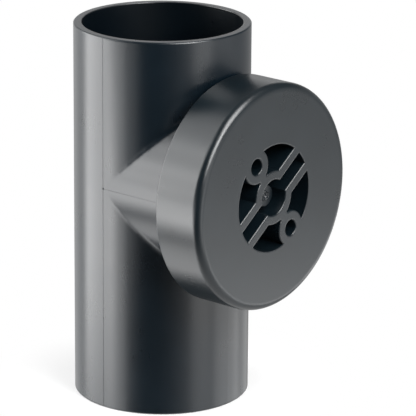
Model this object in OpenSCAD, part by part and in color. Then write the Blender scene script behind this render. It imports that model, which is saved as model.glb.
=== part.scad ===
// Access pipe for a drain or soil line: a straight length of pipe with an equal branch at right
// angles, closed by a screwed service cap on a rubber seal. The lower end stands on z = 0, the
// pipe runs along +Z and the branch faces +X. All sizes are in millimetres.

/* [Pipe] */
// Outside diameter of the pipe and of its equal branch
pipe_od = 110; // [100:1:125]
// Wall of the pipe and of its branch
pipe_wall = 5; // [4:0.1:6]
// Length of the pipe from end to end
pipe_len = 238; // [232:1:320]
// Height of the branch's axis above the lower end
branch_z = 142.5; // [100:0.5:150]
// Chamfer on the outer edge of each pipe end
pipe_chamfer = 0.6; // [0.2:0.1:1.5]

/* [Branch and neck] */
// Distance from the pipe's side to the neck's shoulder
neck_offset = 7; // [7:0.5:12]
// How far the neck stands out from the branch
neck_step = 7; // [6:0.5:9]
// Length of the cone that leads up to the neck
shoulder_len = 3; // [2:0.5:5]
// Length of the neck from the shoulder's cone to its end face
neck_len = 17; // [14:0.5:24]
// Wall of the neck at its mouth
neck_wall = 6; // [4:0.5:7]
// Length of the straight mouth inside the neck
mouth_len = 12; // [8:0.5:13]
// Radius of the blended corner where branch and pipe meet
crotch_r = 6; // [3:0.5:6.5]

/* [Seal] */
// Width of the seal's section
seal_w = 5.5; // [4:0.1:5.8]
// Height of the seal's section when the cap is tight
seal_h = 3.8; // [2.5:0.1:5]
// Chamfer on the seal's corners
seal_chamfer = 0.8; // [0.3:0.1:1.2]
// Room between the seal and the cap's plug
seal_clear = 0.3; // [0.1:0.05:0.6]

/* [Cap] */
// Room that the screw thread takes between neck and skirt
thread_room = 3; // [2.4:0.1:4]
// Wall of the cap's skirt
skirt_wall = 5.8; // [4:0.1:8]
// Room between the tight cap and the pipe's side
skirt_clear = 1.4; // [0.8:0.1:4]
// Chamfer on the skirt's free edge
skirt_chamfer = 0.8; // [0.3:0.1:1.5]
// Thickness of the cap's plate
plate_t = 4.5; // [3:0.1:6]
// Radius round the cap's front edge
cap_edge_r = 5; // [3:0.5:8]
// Room between the plug and the neck's mouth
plug_clear = 0.6; // [0.3:0.1:1.2]
// Wall of the plug that centres the cap in the mouth
plug_wall = 3; // [2:0.1:4]
// How far the plug reaches into the mouth
plug_reach = 6; // [3:0.5:8]

/* [Grip recess] */
// Turn of the slot in the cap's face, up from level
grip_angle = 36; // [0:1:90]
// Diameter of the recess
recess_d = 67; // [64:0.5:72]
// Depth of the recess
recess_depth = 20; // [14:0.5:24]
// Wall and floor of the cup round the recess
cup_wall = 3; // [2:0.1:4]
// Width of the slot for the key
slot_w = 9.4; // [7:0.1:11]
// Thickness of the bar on each side of the slot
bar_t = 5.9; // [4:0.1:7]
// Inside diameter of the ring at the middle of the slot
ring_id = 22.6; // [20:0.2:26]
// Wall of that ring
ring_wall = 5.9; // [4:0.1:7]
// Diameter of the two pin holes
hole_d = 10; // [8:0.2:11]
// Distance between the pin holes' axes
hole_pitch = 56.8; // [54:0.2:60]
// Depth of the pin holes
hole_depth = 16; // [10:0.5:18]
// Wall round each pin hole
boss_wall = 6.1; // [4:0.1:7]
// Width of the web between ring and boss
bridge_w = 7.4; // [5:0.1:9]
// Chamfer on the edges of bars, ring, bosses and holes
grip_chamfer = 0.55; // [0.2:0.05:0.9]
// Diameter of the moulding stub at the middle
stub_d = 13.4; // [8:0.2:15]
// Depth of the stub's top below the face
stub_drop = 7; // [4:0.5:12]
// Diameter of the gate's dimple in the stub
gate_d = 3; // [2:0.5:5]
// Depth of that dimple
gate_depth = 1; // [0.5:0.1:2]

/* [Hidden] */
$fn = 96;
// cutters pass a face by this much
past = 1;
// facets along and across the blended corner
blend_steps = 26;
blend_arc = 6;
// the blend ends where it has thinned out, this far round the branch from its top
blend_end = 78;
// the blend's edges stand this far off the walls and dive this far into them
blend_lift = 0.04;
blend_sink = 2;

pipe_r = pipe_od / 2;
bore_r = pipe_r - pipe_wall;

neck_r = pipe_r + neck_step;
shoulder_x = pipe_r + neck_offset;
neck_x = shoulder_x + shoulder_len;
neck_end_x = neck_x + neck_len;
mouth_r = neck_r - neck_wall;
mouth_x = neck_end_x - mouth_len;
flare_x = mouth_x - (mouth_r - bore_r);

plug_r = mouth_r - plug_clear;
seal_ir = plug_r + seal_clear;
plate_x = neck_end_x + seal_h;
face_x = plate_x + plate_t;
skirt_ir = neck_r + thread_room;
cap_r = skirt_ir + skirt_wall;
skirt_x = pipe_r + skirt_clear;
plug_x = neck_end_x - plug_reach;

recess_r = recess_d / 2;
cup_r = recess_r + cup_wall;
cup_x = face_x - recess_depth - cup_wall;
floor_x = face_x - recess_depth;
ring_ir = ring_id / 2;
ring_r = ring_ir + ring_wall;
hole_r = hole_d / 2;
boss_r = hole_r + boss_wall;
bar_edge = slot_w / 2 + bar_t;

// turns what is drawn along +Z to lie along the branch, with X to the right and Y up as seen
// from the front of the cap
module on_branch() {
    translate([0, 0, branch_z])
        rotate([90, 0, 90])
            children();
}

// a cylinder between two heights
module post(r, from, to) {
    translate([0, 0, from])
        cylinder(r = r, h = to - from);
}

// a tapering cylinder between two heights
module taper(r_from, r_to, from, to) {
    translate([0, 0, from])
        cylinder(r1 = r_from, r2 = r_to, h = to - from);
}

// Pipe with its branch and the neck for the cap, one moulding

module pipe_outside() {
    rotate_extrude()
        polygon([
            [0, 0],
            [pipe_r - pipe_chamfer, 0],
            [pipe_r, pipe_chamfer],
            [pipe_r, pipe_len - pipe_chamfer],
            [pipe_r - pipe_chamfer, pipe_len],
            [0, pipe_len]
        ]);
}

module branch_outside() {
    rotate_extrude()
        polygon([
            [0, 0],
            [pipe_r, 0],
            [pipe_r, shoulder_x],
            [neck_r, neck_x],
            [neck_r, neck_end_x],
            [0, neck_end_x]
        ]);
}

module branch_inside() {
    rotate_extrude()
        polygon([
            [0, 0],
            [bore_r, 0],
            [bore_r, flare_x],
            [mouth_r, mouth_x],
            [mouth_r, neck_end_x + past],
            [0, neck_end_x + past]
        ]);
}

// The blend follows a ball that rolls along the corner. At the angle a round the branch, from
// its top, these are the ball's centre and the directions from there to the two walls, as
// (right, up, out) from the branch's axis.
function ball(a) = (pipe_r + crotch_r + blend_lift) * [sin(a), cos(a), cos(a)];
function to_pipe(a) = [-sin(a), 0, -cos(a)];
function to_branch(a) = [-sin(a), -cos(a), 0];
function unit(v) = v / norm(v);

// one section: its root inside the walls, then the arc from pipe to branch between two skirts
function blend_section(a) = let (
    centre = ball(a),
    p = to_pipe(a),
    b = to_branch(a),
    open = acos(p * b),
    root = centre + (p + b) * (crotch_r + blend_sink) / (1 + p * b),
    arc = [for (i = [0:blend_arc]) let (
        t = open * i / blend_arc
    ) centre + crotch_r * (sin(open - t) * p + sin(t) * b) / sin(open)],
    skirt = blend_sink * unit(b - p)
) concat([root, arc[0] - skirt], arc, [arc[blend_arc] + skirt]);

module blend() {
    ring = blend_arc + 4;
    sections = [for (i = [0:blend_steps]) blend_section(blend_end * (2 * i / blend_steps - 1))];
    sides = [for (i = [0:blend_steps - 1], k = [0:ring - 1]) let (
        here = i * ring + k,
        beside = i * ring + (k + 1) % ring
    ) each [[here, here + ring, beside + ring], [here, beside + ring, beside]]];
    first = [for (k = [1:ring - 2]) [0, k, k + 1]];
    last = [for (k = [1:ring - 2]) [0, k + 1, k] + blend_steps * ring * [1, 1, 1]];
    polyhedron([for (section = sections) each section], concat(sides, first, last));
}

module access_pipe() {
    color("dimgray") {
        difference() {
            union() {
                pipe_outside();
                on_branch()
                    branch_outside();
            }
            post(bore_r, -past, pipe_len + past);
            on_branch()
                branch_inside();
        }
        on_branch() {
            blend();
            mirror([0, 1, 0])
                blend();
        }
    }
}

// Rubber ring between the neck's end and the cap's plate

module seal_ring() {
    color("black")
        on_branch()
            translate([0, 0, neck_end_x])
                rotate_extrude()
                    translate([seal_ir, 0])
                        polygon([
                            [seal_chamfer, 0],
                            [seal_w - seal_chamfer, 0],
                            [seal_w, seal_chamfer],
                            [seal_w, seal_h - seal_chamfer],
                            [seal_w - seal_chamfer, seal_h],
                            [seal_chamfer, seal_h],
                            [0, seal_h - seal_chamfer],
                            [0, seal_chamfer]
                        ]);
}

// Screwed cap, one moulding: plate, skirt, plug and the cup with the grip

module cap_outline() {
    square_x = face_x - cap_edge_r;
    polygon([
        [0, skirt_x],
        [cap_r - skirt_chamfer, skirt_x],
        [cap_r, skirt_x + skirt_chamfer],
        [cap_r, square_x],
        [cap_r - cap_edge_r, square_x],
        [cap_r - cap_edge_r, face_x],
        [0, face_x]
    ]);
    translate([cap_r - cap_edge_r, square_x])
        circle(r = cap_edge_r);
}

module cap_hollow() {
    polygon([
        [cup_r, skirt_x - past],
        [skirt_ir + skirt_chamfer + past, skirt_x - past],
        [skirt_ir, skirt_x + skirt_chamfer],
        [skirt_ir, plate_x],
        [plug_r, plate_x],
        [plug_r, plug_x],
        [plug_r - plug_wall, plug_x],
        [plug_r - plug_wall, plate_x],
        [cup_r, plate_x]
    ]);
    translate([0, skirt_x - past])
        square([cup_r + past, cup_x - skirt_x + past]);
}

// a round hole in the face that opens out to its chamfer
module face_hole(r, deep_x) {
    post(r, deep_x, face_x + past);
    taper(r, r + grip_chamfer + past, face_x - grip_chamfer, face_x + past);
}

// a round part that stands up to the face and narrows to its chamfer
module face_post(r) {
    post(r, floor_x - past, face_x - grip_chamfer);
    taper(r, r - grip_chamfer - past, face_x - grip_chamfer, face_x + past);
}

// a straight bar or slot along X, whose edges move by the chamfer as they reach the face
module face_bar(half_w, side, deep_x) {
    reach = recess_r + past;
    shift = side * (grip_chamfer + past);
    rotate([90, 0, 90])
        translate([0, 0, -reach])
            linear_extrude(height = 2 * reach)
                polygon([
                    [-half_w, deep_x],
                    [half_w, deep_x],
                    [half_w, face_x - grip_chamfer],
                    [half_w + shift, face_x + past],
                    [-half_w - shift, face_x + past],
                    [-half_w, face_x - grip_chamfer]
                ]);
}

module at_holes() {
    for (side = [-1, 1])
        translate([0, side * hole_pitch / 2, 0])
            children();
}

// what the recess leaves standing, up to the face
module grip_solid() {
    face_post(ring_r);
    face_bar(bar_edge, -1, floor_x - past);
    at_holes()
        face_post(boss_r);
    rotate([0, 0, 90])
        intersection() {
            face_bar(bridge_w / 2, -1, floor_x - past);
            post(hole_pitch / 2, floor_x - past, face_x + past);
        }
}

// what the key and the spanner's pins go into
module grip_slots() {
    intersection() {
        face_bar(slot_w / 2, 1, floor_x);
        post(recess_r, floor_x - past, face_x + past);
    }
    face_hole(ring_ir, floor_x);
}

module stub() {
    difference() {
        post(stub_d / 2, floor_x - past, face_x - stub_drop);
        taper(gate_d / 4, gate_d / 2, face_x - stub_drop - gate_depth, face_x - stub_drop);
    }
}

module grip_cut() {
    difference() {
        union() {
            difference() {
                post(recess_r, floor_x, face_x + past);
                grip_solid();
            }
            grip_slots();
        }
        stub();
    }
    at_holes()
        face_hole(hole_r, face_x - hole_depth);
}

module screw_cap() {
    color("slategray")
        on_branch()
            difference() {
                rotate_extrude()
                    difference() {
                        cap_outline();
                        cap_hollow();
                    }
                rotate([0, 0, grip_angle])
                    grip_cut();
            }
}

access_pipe();
seal_ring();
screw_cap();
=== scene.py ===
import math

import bmesh
import bpy
from mathutils import Matrix, Vector


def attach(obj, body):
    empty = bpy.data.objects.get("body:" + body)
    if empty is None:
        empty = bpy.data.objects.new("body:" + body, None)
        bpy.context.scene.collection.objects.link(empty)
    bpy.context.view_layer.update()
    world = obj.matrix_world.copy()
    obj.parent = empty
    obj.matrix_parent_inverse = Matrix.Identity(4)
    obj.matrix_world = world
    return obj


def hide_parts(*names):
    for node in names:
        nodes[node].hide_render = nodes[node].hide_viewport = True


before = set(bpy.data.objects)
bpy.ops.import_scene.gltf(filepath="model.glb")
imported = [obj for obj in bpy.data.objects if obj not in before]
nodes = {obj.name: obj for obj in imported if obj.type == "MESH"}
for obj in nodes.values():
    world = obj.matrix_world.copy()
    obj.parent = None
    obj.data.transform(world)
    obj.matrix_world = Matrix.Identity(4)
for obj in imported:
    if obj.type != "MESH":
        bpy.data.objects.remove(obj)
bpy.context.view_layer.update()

# Sizes of the part, in metres, as in its source
PIPE_R = 0.055
PIPE_LEN = 0.238
PIPE_CHAMFER = 0.0006
BRANCH_Z = 0.1425
BRANCH_CENTRE = Vector((0, 0, BRANCH_Z))
ALONG_BRANCH = Vector((1, 0, 0))
SHOULDER_X = 0.062

# The screw thread, right-handed, in the room the source leaves between neck and skirt
LEAD = 0.006
THREAD_STEPS = 72
THREAD_BASE = 0.003
THREAD_CREST = 0.0013
NECK_ROOT_R = 0.0619
NECK_CREST_R = 0.0646
NECK_THREAD_X = (0.0675, 0.0799)
CAP_ROOT_R = 0.0651
CAP_CREST_R = 0.0624
CAP_THREAD_X = (0.060, 0.0785)
CAP_THREAD_START = 0.25
RUN_OUT = 0.1
END_HEIGHT = 0.04

# The seal's section: its band between neck and plate, with a bead towards each
SEAL_MID_R = 0.05845
SEAL_X = (0.082, 0.0858)
SEAL_HALF_W = 0.00275
SEAL_BEAD = 0.0005
SEAL_CORNER = 0.00055
SEAL_STEPS = 144

# Moulding marks: parting lines on pipe and branch with a point where they meet, and the torn gate
# on the stub in the cap. Its waves each have a height, a count in one turn and a shift
LINE_R = 0.0002
PIPE_LINE_PROUD = 0.00009
BRANCH_LINE_PROUD = 0.00004
PIP_R = 0.0007
PIP_FLATTENED = 0.5
GATE_X = 0.0833
GATE_R = 0.0027
GATE_BEAD = 0.0006
GATE_CORNERS = 8
GATE_STEPS = 48
GATE_RISE = 0.8
GATE_WAVES = ((0.35, 2, 0.6), (0.3, 5, 1.9), (0.2, 9, 0))
GATE_WANDER = (0.6, 3, 0.4)
GATE_SOFTENED = 0.3

# The plastic's noises: how fine each is, how far streaks are drawn out, and between which values
# a noise counts
CLOUD_FINE = 38
STREAK_FINE = 520
STREAK_DRAWN = 0.03
SPECK_FINE = 900
GRAIN_FINE = 3000
NOISE_SPAN = (0.3, 0.7)
SPECK_SPAN = (0.35, 0.62)

# What they do to its colour, roughness and relief
FLECK = 0.15
CLOUD_ROUGH = (0.27, 0.295)
STREAK_ROUGH = 0.004
STREAK_HEIGHT = 0.15
GRAIN_STRENGTH = 0.08
GRAIN_DEPTH = 0.00002
PLASTIC_IOR = 1.52

# Rubbed edges: how far normals are rounded off, at which cosine between rounded and true normal
# the rubbing starts and is full, its least share between specks, and what it adds: a lighter
# colour, partly wear and partly a painted highlight, and more roughness
EDGE_ROUND = 0.0011
EDGE_SAMPLES = 8
RUBBED_COSINES = (0.95, 0.80)
RUBBED_LEAST = 0.15
EDGE_WEAR_AND_HIGHLIGHT_LIGHTER = 1.6
EDGE_DUST_AND_HIGHLIGHT = 0.012
RUBBED_ROUGH = 0.07

# Round the corner between pipe and branch, from its near to its far reach of either axis, the
# finish rounds normals off by ever less, so that the corner's flats don't show in a gleam
CORNER_ROUND = 0.003
CORNER_SAMPLES = 16
CORNER_NEAR = 0.0575
CORNER_FAR = 0.0605

# The bore is painted darker than the outside, as painted shade, from within the wall inwards: its
# colour goes this share of the way to a tenth of itself
BORE_EDGE = 0.0506
WALL_MID = 0.0525
BORE_PAINTED_SHADE = 0.6
BORE_PAINTED_DARK = 0.1

# The rubber's bloom
BLOOM_FINE = 240
BLOOM_LIGHTER = 1.9
BLOOM_ROUGH = (0.55, 0.75)

# The floor. Its plain part under the bore ends below the pipe's wall; near the pipe it shows its
# shadow through this much white, and from far on it is all white
FLOOR_R = 0.13
FLOOR_CENTRE = Vector((0.01, 0, -0.0002))
FLOOR_GREY = 0.85
UNDER_WALL = 0.0511
SHADOW_NEAR = 0.06
SHADOW_FAR = 0.115
SHADOW_WHITE = 0.6

# The camera: its side of the part, distance and height, how it is turned, and its lens
VIEW_AZ = math.radians(41.08)
VIEW_DIST = 1.9
VIEW_HEIGHT = 0.7072
VIEW_YAW = math.radians(-0.871)
VIEW_TILT = math.radians(17.239)
VIEW_ROLL = math.radians(0.427)
VIEW_LENS = 274.5
VIEW_SENSOR = 36
VIEW_NEAREST = 0.05

# Where the room that the part mirrors is darker, in front, overhead and to the right: side and
# rise of the middle, outer and inner reach in degrees, and the level outside and in the middle
ROOM_SHADES = (
    (20, 10, 80, 25, 1.08, 0.025),
    (0, 90, 90, 64, 1, 0.25),
    (-148, 0, 65, 25, 1, 0.44),
)

# The softboxes: side and rise in degrees, width and height in metres, and watts
AIM = Vector((0.02, 0, 0.12))
LAMP_DIST = 1.3
LAMPS = (
    ("lamp_left_floor", 92, -48, 0.9, 0.5, 2.8),
    ("lamp_left_rim", 90, -20, 1.25, 0.28, 3.9),
    ("lamp_left_under", 92, -12, 1.1, 0.42, 4.9),
    ("lamp_left_level", 94, 0, 1.05, 0.5, 6.1),
    ("lamp_left", 94, 12, 1.05, 0.5, 7.2),
    ("lamp_left_upper", 96, 28, 1.25, 0.6, 9.5),
    ("lamp_left_high", 94, 48, 1.25, 0.6, 4.8),
    ("lamp_left_back", 125, 30, 0.6, 0.7, 1.6),
    ("lamp_near_rim", 62, -25, 0.6, 0.34, 1.7),
    ("lamp_near_under", 63, -12, 0.6, 0.34, 2.5),
    ("lamp_near_edge", 40, -8, 0.35, 0.5, 0.64),
    ("lamp_key", -47, 48, 0.68, 0.62, 15.8),
    ("lamp_key_low", -29, 29, 0.6, 0.56, 13.0),
    ("lamp_key_high", -50, 66, 0.7, 0.4, 5.0),
    ("lamp_right", -52, -8, 0.6, 0.9, 2.2),
    ("lamp_right_low", -97, -26, 1.05, 0.3, 2.1),
    ("lamp_right_back", -134, -25, 0.9, 0.3, 0.7),
    ("lamp_back", 180, 20, 1.0, 0.5, 0.8),
)


# Making and keeping pieces

def add_object(name, data):
    thing = bpy.data.objects.new(name, data)
    bpy.context.scene.collection.objects.link(thing)
    return thing


def add_mesh(bm, name):
    mesh = bpy.data.meshes.new(name)
    bm.to_mesh(mesh)
    bm.free()
    return add_object(name, mesh)


def keep_piece(bm, name, body, material, smooth_angle):
    """Closes the mesh, points its faces outwards and gives it body and finish."""
    bmesh.ops.remove_doubles(bm, verts=bm.verts, dist=1e-6)
    bmesh.ops.recalc_face_normals(bm, faces=bm.faces)
    for face in bm.faces:
        face.smooth = True
    for edge in bm.edges:
        if edge.is_manifold and edge.calc_face_angle(0) > math.radians(smooth_angle):
            edge.smooth = False
    piece = add_mesh(bm, name)
    piece.data.materials.append(material)
    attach(piece, body)
    return piece


def draw_outline(bm, points):
    """A closed loop of edges above the branch's axis, through points of (x, radius)."""
    verts = [bm.verts.new((x, 0, BRANCH_Z + r)) for x, r in points]
    return verts + [bm.edges.new((a, b)) for a, b in zip(verts, verts[1:] + verts[:1])]


def only_verts(items):
    return [item for item in items if isinstance(item, bmesh.types.BMVert)]


def spin_round(bm, steps):
    """Takes all that is drawn once round the branch's axis and joins it up."""
    bmesh.ops.spin(
        bm, geom=bm.verts[:] + bm.edges[:], cent=BRANCH_CENTRE, axis=ALONG_BRANCH,
        angle=2 * math.pi, steps=steps, use_merge=True, use_duplicate=False,
    )


def on_axis(co):
    """The point of the branch's axis that lies level with another point."""
    return Vector((co.x, 0, BRANCH_Z))


def turn_share(co):
    """How far round the branch a point lies, as a share of a turn from the top."""
    return math.atan2(-co.y, co.z - BRANCH_Z) / (2 * math.pi) % 1


# Pieces

def screw_thread(name, body, material, root_r, crest_r, x_range, start):
    """A helical rib, its flanks running out to almost nothing at both ends."""
    bm = bmesh.new()
    first_x, last_x = x_range
    outline = draw_outline(bm, [
        (first_x - THREAD_BASE / 2, root_r),
        (first_x - THREAD_CREST / 2, crest_r),
        (first_x + THREAD_CREST / 2, crest_r),
        (first_x + THREAD_BASE / 2, root_r),
    ])
    bmesh.ops.rotate(
        bm, verts=bm.verts, cent=BRANCH_CENTRE,
        matrix=Matrix.Rotation(start * 2 * math.pi, 3, ALONG_BRANCH),
    )
    steps = round((last_x - first_x) / LEAD * THREAD_STEPS)
    turns = steps / THREAD_STEPS
    bmesh.ops.spin(
        bm, geom=outline, cent=BRANCH_CENTRE, axis=ALONG_BRANCH, angle=turns * 2 * math.pi,
        dvec=ALONG_BRANCH * LEAD / THREAD_STEPS, steps=steps, use_merge=False, use_duplicate=False,
    )
    for vert in bm.verts:
        share = (turn_share(vert.co) - start) % 1
        rough = (vert.co.x - first_x) / LEAD
        turn = share + round(rough - share)
        height = max(0, min(1, turn / RUN_OUT, (turns - turn) / RUN_OUT))
        out = vert.co - on_axis(vert.co)
        r = root_r + (out.length - root_r) * (END_HEIGHT + (1 - END_HEIGHT) * height)
        vert.co = on_axis(vert.co) + out.normalized() * r
    bmesh.ops.holes_fill(bm, edges=[edge for edge in bm.edges if edge.is_boundary], sides=0)
    keep_piece(bm, name, body, material, smooth_angle=30)


def seal_ring():
    """The rubber ring: round-cornered, waisted at its sides, with a bead towards neck and plate."""
    bm = bmesh.new()
    low_x, high_x = SEAL_X
    mid_x = (low_x + high_x) / 2
    low_side, high_side = low_x + SEAL_BEAD, high_x - SEAL_BEAD
    inner, outer = SEAL_MID_R - SEAL_HALF_W, SEAL_MID_R + SEAL_HALF_W
    bead_half_w = (high_x - low_x) / 4
    outline = draw_outline(bm, [
        (low_side, inner),
        (mid_x, inner + SEAL_BEAD),
        (high_side, inner),
        (high_side, SEAL_MID_R - bead_half_w),
        (high_x, SEAL_MID_R),
        (high_side, SEAL_MID_R + bead_half_w),
        (high_side, outer),
        (mid_x, outer - SEAL_BEAD),
        (low_side, outer),
        (low_side, SEAL_MID_R + bead_half_w),
        (low_x, SEAL_MID_R),
        (low_side, SEAL_MID_R - bead_half_w),
    ])
    bmesh.ops.bevel(
        bm, geom=only_verts(outline), affect="VERTICES", offset=SEAL_CORNER, segments=3,
        profile=0.5, material=-1,
    )
    spin_round(bm, SEAL_STEPS)
    ring = keep_piece(bm, "seal_ring_rubber", "seal", seal_rubber, smooth_angle=60)
    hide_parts("seal_ring")


def parting_line(name, start, end, outward, proud):
    """A fine bead along the wall, where the two halves of the mould met."""
    bm = bmesh.new()
    along = end - start
    ring = bmesh.ops.create_circle(bm, cap_ends=True, radius=LINE_R, segments=10)["verts"]
    turn = along.to_track_quat("Z", "Y").to_matrix()
    bmesh.ops.rotate(bm, verts=ring, cent=(0, 0, 0), matrix=turn)
    bmesh.ops.translate(bm, verts=ring, vec=start - outward * (LINE_R - proud))
    swept = bmesh.ops.extrude_face_region(bm, geom=bm.faces[:], use_keep_orig=True)["geom"]
    bmesh.ops.translate(bm, verts=only_verts(swept), vec=along)
    keep_piece(bm, name, "pipe", pipe_plastic, smooth_angle=80)


def crotch_pip(name, side):
    """The small raised point where the parting lines of pipe and branch meet."""
    bm = bmesh.new()
    bmesh.ops.create_uvsphere(bm, u_segments=20, v_segments=12, radius=PIP_R)
    bmesh.ops.scale(bm, vec=(1, PIP_FLATTENED, 1), verts=bm.verts)
    bmesh.ops.translate(bm, vec=(0, side * PIPE_R, BRANCH_Z), verts=bm.verts)
    keep_piece(bm, name, "pipe", pipe_plastic, smooth_angle=80)


def torn_gate():
    """The ragged bead round the pit on the stub, where the sprue was twisted off."""
    bm = bmesh.new()
    angles = [corner * 2 * math.pi / GATE_CORNERS for corner in range(GATE_CORNERS)]
    draw_outline(bm, [
        (GATE_X + GATE_BEAD * math.cos(angle), GATE_R + GATE_BEAD * math.sin(angle))
        for angle in angles
    ])
    spin_round(bm, GATE_STEPS)
    wander, count, shift = GATE_WANDER
    for vert in bm.verts:
        turn = turn_share(vert.co) * 2 * math.pi
        ragged = sum(high * math.sin(times * turn + late) for high, times, late in GATE_WAVES)
        out = (vert.co - on_axis(vert.co)).normalized()
        vert.co += ALONG_BRANCH * (GATE_BEAD * GATE_RISE * ragged)
        vert.co += out * (GATE_BEAD * wander * math.sin(count * turn + shift))
    bmesh.ops.smooth_vert(
        bm, verts=bm.verts, factor=GATE_SOFTENED,
        use_axis_x=True, use_axis_y=True, use_axis_z=True,
    )
    keep_piece(bm, "torn_gate", "cap", cap_plastic, smooth_angle=60)


# What finishes, floor and room are put together from

def add_node(nt, kind, feeds=None, **settings):
    """A shader node with its settings; feeds are fixed values or the outputs of other nodes."""
    node = nt.nodes.new("ShaderNode" + kind)
    for key, value in settings.items():
        setattr(node, key, value)
    for key, value in (feeds or {}).items():
        if isinstance(value, bpy.types.NodeSocket):
            nt.links.new(value, node.inputs[key])
        else:
            node.inputs[key].default_value = value
    return node


def joined(nt, operation, a, b):
    return add_node(nt, "Math", {0: a, 1: b}, operation=operation).outputs["Value"]


def spread(nt, source, low, high, to_low, to_high, kind="LINEAR"):
    """Takes the values from low to high over to others, and holds them there beyond."""
    ends = {"From Min": low, "From Max": high, "To Min": to_low, "To Max": to_high}
    node = add_node(nt, "MapRange", {"Value": source, **ends}, interpolation_type=kind)
    return node.outputs["Result"]


def noise(nt, place, fine, detail, stretch=(1, 1, 1)):
    stretched = add_node(nt, "Mapping", {"Vector": place, "Scale": stretch}).outputs["Vector"]
    feeds = {"Vector": stretched, "Scale": fine, "Detail": detail}
    return add_node(nt, "TexNoise", feeds).outputs["Fac"]


def agreement(nt, a, b):
    """The cosine between two directions."""
    return add_node(nt, "VectorMath", {0: a, 1: b}, operation="DOT_PRODUCT").outputs["Value"]


def length_of(nt, vector):
    return add_node(nt, "VectorMath", {0: vector}, operation="LENGTH").outputs["Value"]


def reach(nt, place, centre, across):
    """How far a point lies from the axis through centre, looking only across it."""
    arm = add_node(nt, "VectorMath", {0: place, 1: centre}, operation="SUBTRACT")
    flat = add_node(nt, "VectorMath", {0: arm.outputs["Vector"], 1: across}, operation="MULTIPLY")
    return length_of(nt, flat.outputs["Vector"])


def rounded_off(nt, radius, samples):
    """The surface's normal as if its edges were round."""
    return add_node(nt, "Bevel", {"Radius": radius}, samples=samples).outputs["Normal"]


def shade_of(colour, factor, dust_and_highlight=0):
    """A colour made lighter or darker, with an even amount added over it."""
    return [c * factor + dust_and_highlight for c in colour] + [1]


def tinted(nt, share, a, b):
    """From colour a to colour b, by a share."""
    mix = add_node(nt, "Mix", {"Factor": share, "A": a, "B": b}, data_type="RGBA")
    return mix.outputs["Result"]


def blended(nt, share, a, b):
    """From shader a to shader b, by a share."""
    return add_node(nt, "MixShader", {"Fac": share, 1: a, 2: b}).outputs["Shader"]


def either_ray(nt, first, second):
    """One for rays of two kinds, nought for the rest."""
    path = add_node(nt, "LightPath")
    return joined(nt, "MAXIMUM", path.outputs[first], path.outputs[second])


# Finishes

def start_finish(name):
    """A material with its node tree, its shader and its object coordinates."""
    material = bpy.data.materials.new(name)
    material.use_nodes = True
    nt = material.node_tree
    place = add_node(nt, "TexCoord").outputs["Object"]
    return material, nt, nt.nodes["Principled BSDF"], place


def plastic_finish(name, colour, streak_axis, is_pipe=False):
    """Satin polyethylene: clouds of gloss, faint flow streaks, fine grain, edges scuffed and
    painted lighter as wear and as painted highlight, and on the pipe a painted shade in the bore.
    """
    material, nt, shader, place = start_finish(name)
    stretch = [1.0, 1.0, 1.0]
    stretch[streak_axis] = STREAK_DRAWN
    cloud = noise(nt, place, CLOUD_FINE, detail=4)
    streak = noise(nt, place, STREAK_FINE, detail=2, stretch=stretch)
    grain = noise(nt, place, GRAIN_FINE, detail=2)
    speck = noise(nt, place, SPECK_FINE, detail=3)

    # where a rounded-off normal parts from the true one there is an edge, scuffed dull in places
    # and painted lighter there, partly as wear and partly as a painted highlight
    normal = rounded_off(nt, EDGE_ROUND, EDGE_SAMPLES)
    true = add_node(nt, "NewGeometry").outputs["Normal"]
    edge = spread(nt, agreement(nt, normal, true), *RUBBED_COSINES, 0, 1)
    patchy = spread(nt, speck, *SPECK_SPAN, RUBBED_LEAST, 1)
    rubbed_and_highlit = joined(nt, "MULTIPLY", edge, patchy)

    clouded = spread(nt, cloud, *NOISE_SPAN, 0, 1)
    flecked = tinted(nt, clouded, shade_of(colour, 1 - FLECK), shade_of(colour, 1 + FLECK))
    if is_pipe:
        off_pipe = reach(nt, place, (0, 0, 0), (1, 1, 0))
        off_branch = reach(nt, place, BRANCH_CENTRE, (0, 1, 1))
        # painted shade: the bore's colour is darkened from within the wall inwards
        painted_bore_shade = spread(nt, off_pipe, BORE_EDGE, WALL_MID, BORE_PAINTED_SHADE, 0)
        flecked = tinted(nt, painted_bore_shade, flecked, shade_of(colour, BORE_PAINTED_DARK))
        off_corner = joined(nt, "MAXIMUM", off_pipe, off_branch)
        wide = spread(nt, off_corner, CORNER_NEAR, CORNER_FAR, CORNER_ROUND, EDGE_ROUND)
        normal = rounded_off(nt, wide, CORNER_SAMPLES)
    # edges painted lighter: partly wear, partly a painted highlight
    worn_and_highlit = tinted(nt, rubbed_and_highlit, flecked, shade_of(colour, EDGE_WEAR_AND_HIGHLIGHT_LIGHTER, EDGE_DUST_AND_HIGHLIGHT))
    nt.links.new(worn_and_highlit, shader.inputs["Base Color"])

    gloss = joined(
        nt, "ADD", spread(nt, cloud, *NOISE_SPAN, *CLOUD_ROUGH),
        spread(nt, streak, *NOISE_SPAN, -STREAK_ROUGH, STREAK_ROUGH),
    )
    rough = joined(nt, "ADD", gloss, spread(nt, rubbed_and_highlit, 0, 1, 0, RUBBED_ROUGH))
    nt.links.new(rough, shader.inputs["Roughness"])

    height = joined(nt, "ADD", grain, spread(nt, streak, 0, 1, 0, STREAK_HEIGHT))
    bump = add_node(nt, "Bump", {
        "Strength": GRAIN_STRENGTH, "Distance": GRAIN_DEPTH, "Height": height, "Normal": normal,
    })
    nt.links.new(bump.outputs["Normal"], shader.inputs["Normal"])
    shader.inputs["IOR"].default_value = PLASTIC_IOR
    return material


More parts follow.
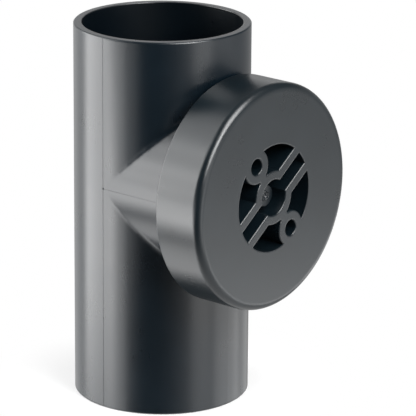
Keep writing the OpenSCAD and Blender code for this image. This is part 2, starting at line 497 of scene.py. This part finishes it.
def rubber_finish(name, colour):
    """Matt black rubber with a faint bloom."""
    material, nt, shader, place = start_finish(name)
    bloom = noise(nt, place, BLOOM_FINE, detail=5)
    tint = tinted(nt, bloom, shade_of(colour, 1), shade_of(colour, BLOOM_LIGHTER))
    nt.links.new(tint, shader.inputs["Base Color"])
    nt.links.new(spread(nt, bloom, 0, 1, *BLOOM_ROUGH), shader.inputs["Roughness"])
    return material


pipe_plastic = plastic_finish("pipe_plastic", (0.0015, 0.0048, 0.0081), 2, is_pipe=True)
cap_plastic = plastic_finish("cap_plastic", (0.0026, 0.0057, 0.008), 0)
seal_rubber = rubber_finish("seal_rubber", (0.012, 0.012, 0.013))

for node_name, material in (
    ("access_pipe", pipe_plastic), ("screw_cap", cap_plastic), ("seal_ring", seal_rubber),
):
    mesh = nodes[node_name].data
    mesh.materials.clear()
    mesh.materials.append(material)

screw_thread(
    "neck_thread", "pipe", pipe_plastic,
    NECK_ROOT_R, NECK_CREST_R, NECK_THREAD_X, 0,
)
screw_thread(
    "cap_thread", "cap", cap_plastic,
    CAP_ROOT_R, CAP_CREST_R, CAP_THREAD_X, CAP_THREAD_START,
)
seal_ring()
torn_gate()
for side, hand in ((-1, "left"), (1, "right")):
    outward = Vector((0, side, 0))
    wall = outward * PIPE_R
    foot = wall + Vector((0, 0, PIPE_CHAMFER))
    top = wall + Vector((0, 0, PIPE_LEN - PIPE_CHAMFER))
    corner = wall + BRANCH_CENTRE
    shoulder = corner + ALONG_BRANCH * SHOULDER_X
    parting_line(f"pipe_parting_line_{hand}", foot, top, outward, PIPE_LINE_PROUD)
    parting_line(f"branch_parting_line_{hand}", corner, shoulder, outward, BRANCH_LINE_PROUD)
    crotch_pip(f"crotch_pip_{hand}", side)


# Floor, background, lamps and camera

def pale_floor():
    """A round white table that shows a shadow, in plain shade where the bore stands on it."""
    bm = bmesh.new()
    bmesh.ops.create_circle(bm, cap_ends=True, radius=FLOOR_R, segments=128)
    bmesh.ops.translate(bm, verts=bm.verts, vec=FLOOR_CENTRE)
    floor = add_mesh(bm, "floor")

    material = bpy.data.materials.new("pale_floor")
    material.use_nodes = True
    nt = material.node_tree
    nt.nodes.clear()
    grey = (FLOOR_GREY, FLOOR_GREY, FLOOR_GREY, 1)
    matt = add_node(nt, "BsdfDiffuse", {"Color": grey}).outputs["BSDF"]
    white = add_node(nt, "Emission").outputs["Emission"]
    clear = add_node(nt, "BsdfTransparent").outputs["BSDF"]
    off_pipe = length_of(nt, add_node(nt, "TexCoord").outputs["Object"])
    off_foot = spread(nt, off_pipe, BORE_EDGE, UNDER_WALL, 0, 1)

    # the eye sees white in it, and the more the further it is from the pipe
    fading = spread(nt, off_pipe, SHADOW_NEAR, SHADOW_FAR, SHADOW_WHITE, 1, kind="SMOOTHSTEP")
    seen = either_ray(nt, "Is Camera Ray", "Is Transmission Ray")
    whitened = joined(nt, "MULTIPLY", seen, joined(nt, "MULTIPLY", fading, off_foot))
    pale = blended(nt, whitened, matt, white)

    # gloss on the part and lamps pass through it, and so does the eye from below
    passing = joined(nt, "MULTIPLY", either_ray(nt, "Is Glossy Ray", "Is Shadow Ray"), off_foot)
    from_below = add_node(nt, "NewGeometry").outputs["Backfacing"]
    surface = blended(nt, joined(nt, "MAXIMUM", passing, from_below), pale, clear)
    add_node(nt, "OutputMaterial", {"Surface": surface})
    floor.data.materials.append(material)


def direction(side_deg, rise_deg):
    """A direction from the part; its side is counted from the camera towards the left."""
    heading = math.radians(side_deg) - VIEW_AZ
    rise = math.radians(rise_deg)
    return Vector((
        -math.sin(heading) * math.cos(rise), -math.cos(heading) * math.cos(rise), math.sin(rise),
    ))


def studio_room():
    """A white backdrop to the eye; to the part a pale room, darker towards some sides."""
    world = bpy.data.worlds.new("room")
    bpy.context.scene.world = world
    world.use_nodes = True
    nt = world.node_tree
    nt.nodes.clear()
    outlook = add_node(nt, "TexCoord").outputs["Generated"]
    strength = None
    for side_deg, rise_deg, outer_deg, inner_deg, open_level, dark_level in ROOM_SHADES:
        shade = spread(
            nt, agreement(nt, outlook, direction(side_deg, rise_deg)),
            math.cos(math.radians(outer_deg)), math.cos(math.radians(inner_deg)),
            open_level, dark_level, kind="SMOOTHSTEP",
        )
        strength = shade if strength is None else joined(nt, "MULTIPLY", strength, shade)
    white = (1, 1, 1, 1)
    room = add_node(nt, "Background", {"Color": white, "Strength": strength}).outputs["Background"]
    backdrop = add_node(nt, "Background", {"Color": white}).outputs["Background"]
    seen = either_ray(nt, "Is Camera Ray", "Is Transmission Ray")
    add_node(nt, "OutputWorld", {"Surface": blended(nt, seen, room, backdrop)})


def photo_camera():
    """The camera at the photograph's viewing angle."""
    camera = add_object("camera", bpy.data.cameras.new("camera"))
    camera.data.lens = VIEW_LENS
    camera.data.sensor_width = VIEW_SENSOR
    camera.data.clip_start = VIEW_NEAREST
    heading = VIEW_AZ + VIEW_YAW
    ahead = Vector((
        -math.sin(heading) * math.cos(VIEW_TILT), math.cos(heading) * math.cos(VIEW_TILT),
        -math.sin(VIEW_TILT),
    ))
    right = Vector((math.cos(heading), math.sin(heading), 0))
    up = right.cross(ahead)
    rolled_right = right * math.cos(VIEW_ROLL) + up * math.sin(VIEW_ROLL)
    rolled_up = up * math.cos(VIEW_ROLL) - right * math.sin(VIEW_ROLL)
    turn = Matrix((rolled_right, rolled_up, -ahead)).transposed().to_4x4()
    stand = Vector((
        math.sin(VIEW_AZ) * VIEW_DIST, -math.cos(VIEW_AZ) * VIEW_DIST, VIEW_HEIGHT,
    ))
    camera.matrix_world = Matrix.Translation(stand) @ turn
    bpy.context.scene.camera = camera


def soft_lamp(name, side_deg, rise_deg, width, height, watts):
    """A softbox at LAMP_DIST from the part, facing it, which the camera doesn't see."""
    lamp = bpy.data.lights.new(name, "AREA")
    lamp.shape = "RECTANGLE"
    lamp.size, lamp.size_y = width, height
    lamp.energy = watts
    softbox = add_object(name, lamp)
    out = direction(side_deg, rise_deg)
    softbox.location = AIM + out * LAMP_DIST
    softbox.rotation_euler = out.to_track_quat("Z", "Y").to_euler()
    softbox.visible_camera = False


bpy.context.scene.view_settings.view_transform = "Standard"
pale_floor()
studio_room()
photo_camera()
for lamp in LAMPS:
    soft_lamp(*lamp)
